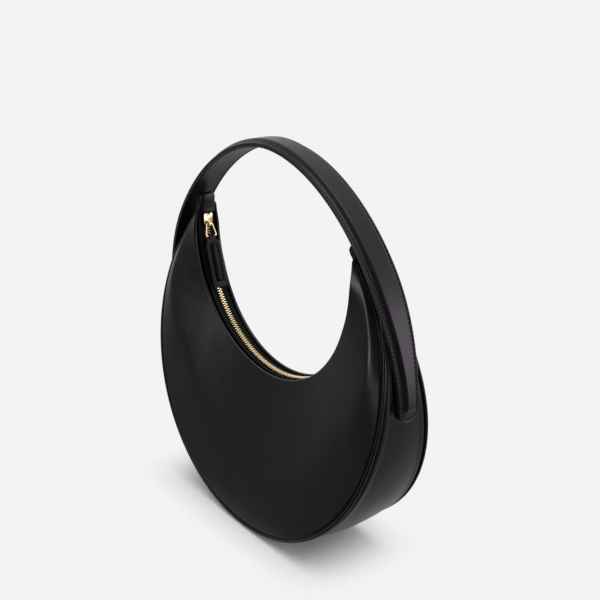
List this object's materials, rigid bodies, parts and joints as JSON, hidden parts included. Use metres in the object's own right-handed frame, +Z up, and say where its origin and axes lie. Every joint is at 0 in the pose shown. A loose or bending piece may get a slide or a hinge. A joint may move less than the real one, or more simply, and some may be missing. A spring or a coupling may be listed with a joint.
{
  "type": "half moon bag",
  "caption": "Half moon shoulder bag in smooth black leather with a deep side band, a zip along the round mouth, a leather puller and a padded loop handle.",
  "frame": {"origin": "under the middle of the bag on the surface it stands on", "axes": "+X along the bag's width to the right seen from the front, -Y the front, +Z up"},
  "size_m": [0.316, 0.081, 0.3205],
  "materials": {
    "leather": "smooth satin",
    "gold_metal": "polished pale gold",
    "lining_cloth": "matt cloth",
    "zip_tape": "woven tape",
    "stiffener": "bonded board and foam"
  },
  "bodies": {
    "bag": {"back_panel": "leather", "back_welt": "leather", "base_board": "stiffener", "front_panel": "leather", "front_welt": "leather", "gusset": "leather", "handle_core": "stiffener", "handle_lining": "leather", "handle_outer": "leather", "inner_pocket": "lining_cloth", "lining_back": "lining_cloth", "lining_front": "lining_cloth", "lining_gusset": "lining_cloth", "zip_bottom_stop": "gold_metal", "zip_end_cap_left": "leather", "zip_end_cap_right": "leather", "zip_tape_back": "zip_tape", "zip_tape_front": "zip_tape", "zip_teeth_back": "gold_metal", "zip_teeth_front": "gold_metal", "zip_top_stops": "gold_metal"},
    "slider": {"zip_slider": "gold_metal"},
    "ring": {"pull_ring": "gold_metal"},
    "puller": {"pull_tab": "leather", "pull_tab_core": "stiffener"}
  },
  "joints": [
    {"name": "zip_slide", "type": "hinge", "parent": "bag", "child": "slider", "pos_m": [0, 0, 0.2344], "axis": [0, -1, 0], "range_deg": [0, 170], "deforming": ["zip_teeth_front", "zip_teeth_back"]},
    {"name": "ring_swing", "type": "hinge", "parent": "slider", "child": "ring", "pos_m": [-0.10051, 0, 0.23378], "axis": [0, -1, 0], "range_deg": [0, 100]},
    {"name": "puller_swing", "type": "hinge", "parent": "ring", "child": "puller", "pos_m": [-0.09742, 0, 0.22386], "axis": [0, -1, 0], "range_deg": [0, 45]}
  ]
}
